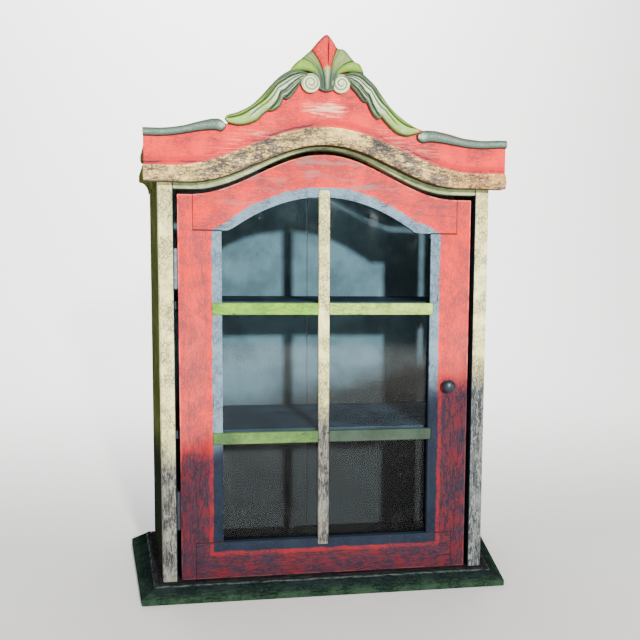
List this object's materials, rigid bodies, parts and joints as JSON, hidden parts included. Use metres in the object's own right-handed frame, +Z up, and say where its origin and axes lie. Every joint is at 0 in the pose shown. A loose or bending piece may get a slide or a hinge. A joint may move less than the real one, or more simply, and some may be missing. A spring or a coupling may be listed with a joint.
{
  "type": "glazed display cabinet",
  "caption": "Small painted wooden display cabinet with a glazed door on side hinges, shelves inside, canted sides, a serpentine cornice and a carved crest.",
  "frame": {"origin": "on the table, under the middle of the whole cabinet's width and depth", "axes": "+X to the right seen from the front, +Y from the door to the back, +Z up"},
  "size_m": [0.5276, 0.244, 0.686],
  "materials": {
    "coral_paint": "crackled coral-red paint over dark navy",
    "cream_paint": "crackled cream paint over dark blue",
    "sage_paint": "rubbed sage-green paint",
    "leaf_paint": "grey-green dry-brushed paint",
    "teal_paint": "dark teal-green paint, worn at the edges",
    "olive_paint": "thin olive wash",
    "slate_paint": "flat slate-blue paint",
    "navy_paint": "satin navy paint",
    "clear_glass": "clear, slightly smeared",
    "hinge_steel": "painted over blue-grey",
    "screw_steel": "dull",
    "magnet_black": "matte"
  },
  "bodies": {
    "carcass": {"acanthus_leaf_left": "leaf_paint", "acanthus_leaf_right": "leaf_paint", "back_board_left": "slate_paint", "back_board_right": "slate_paint", "bottom_board": "teal_paint", "catch_magnet": "magnet_black", "cornice_band": "cream_paint", "cornice_cove_left": "olive_paint", "cornice_cove_right": "olive_paint", "cornice_frieze": "coral_paint", "crest_palmette": "coral_paint", "face_rail_top": "sage_paint", "hinge_lower_frame_leaf": "hinge_steel", "hinge_lower_frame_screw_bottom": "screw_steel", "hinge_lower_frame_screw_top": "screw_steel", "hinge_lower_pin": "hinge_steel", "hinge_upper_frame_leaf": "hinge_steel", "hinge_upper_frame_screw_bottom": "screw_steel", "hinge_upper_frame_screw_top": "screw_steel", "hinge_upper_pin": "hinge_steel", "plinth_moulding_front": "teal_paint", "plinth_moulding_left": "teal_paint", "plinth_moulding_right": "teal_paint", "post_left": "cream_paint", "post_right": "cream_paint", "shelf_lower": "slate_paint", "shelf_upper": "slate_paint", "side_panel_left": "olive_paint", "side_panel_right": "olive_paint", "top_bead_left": "leaf_paint", "top_bead_right": "leaf_paint", "top_board": "olive_paint"},
    "door": {"catch_plate": "screw_steel", "door_glass": "clear_glass", "door_knob": "navy_paint", "door_rail_bottom": "coral_paint", "door_rail_top": "coral_paint", "door_stile_hinge": "coral_paint", "door_stile_latch": "coral_paint", "glazing_bead_bottom": "navy_paint", "glazing_bead_left": "navy_paint", "glazing_bead_right": "navy_paint", "glazing_bead_top": "navy_paint", "hinge_lower_door_leaf": "hinge_steel", "hinge_lower_door_screw_bottom": "screw_steel", "hinge_lower_door_screw_top": "screw_steel", "hinge_upper_door_leaf": "hinge_steel", "hinge_upper_door_screw_bottom": "screw_steel", "hinge_upper_door_screw_top": "screw_steel", "knob_screw": "screw_steel", "muntin_lower_left": "sage_paint", "muntin_lower_right": "sage_paint", "muntin_upper_left": "sage_paint", "muntin_upper_right": "sage_paint", "muntin_vertical": "cream_paint"}
  },
  "joints": [
    {"name": "door_hinge", "type": "hinge", "parent": "carcass", "child": "door", "pos_m": [-0.1856, -0.0907, 0.26], "axis": [0, 0, -1], "range_deg": [0, 165]}
  ]
}
